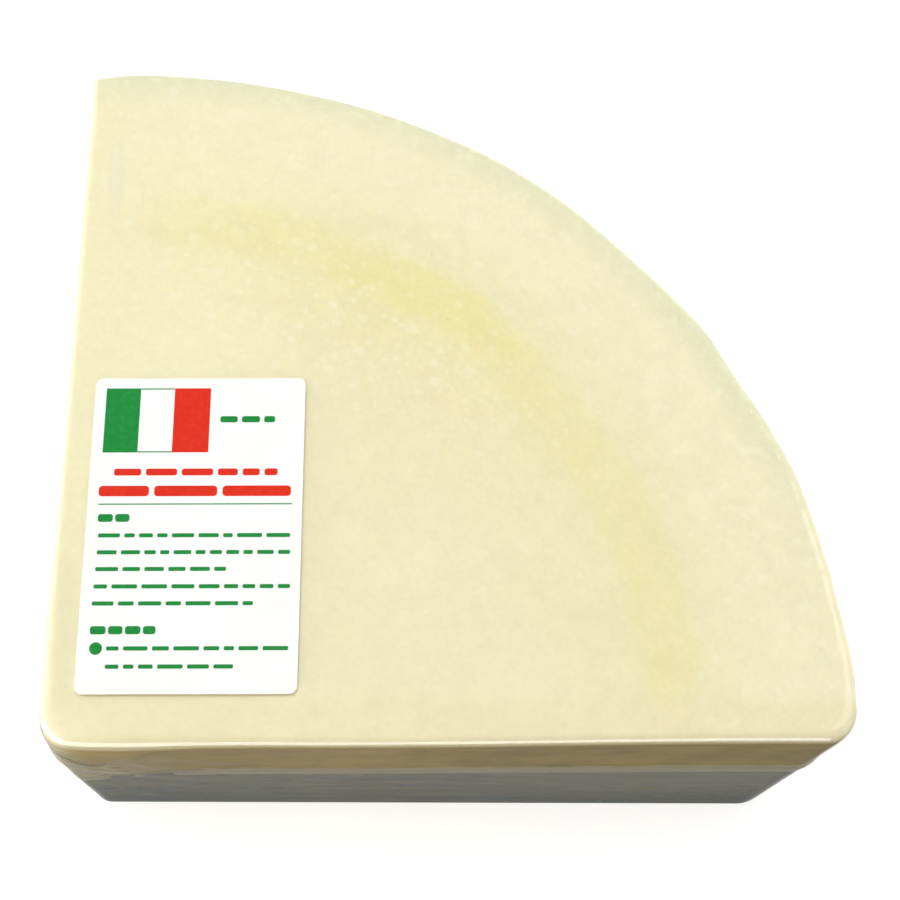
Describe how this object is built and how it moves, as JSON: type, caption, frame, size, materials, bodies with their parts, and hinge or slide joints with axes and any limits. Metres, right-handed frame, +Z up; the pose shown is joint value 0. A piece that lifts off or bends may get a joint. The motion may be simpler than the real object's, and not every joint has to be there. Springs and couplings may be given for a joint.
{
  "type": "pecorino romano",
  "caption": "Flat quarter-wheel slab of ivory sheep's milk cheese sealed in clear film, with a weld line round its sides and a white label on top.",
  "frame": {"origin": "on the underside, below the middle of the bounding box", "axes": "+Z up; +X along the front cut face, away from the square cut corner; +Y along the left cut face, away from that corner"},
  "size_m": [0.1636, 0.1556, 0.0652],
  "materials": {
    "wrapped_cheese": "ivory cheese under tight clear film",
    "label": "smooth white printed label"
  },
  "bodies": {
    "root": {"wrapped_cheese": "wrapped_cheese", "label": "label"}
  },
  "joints": []
}
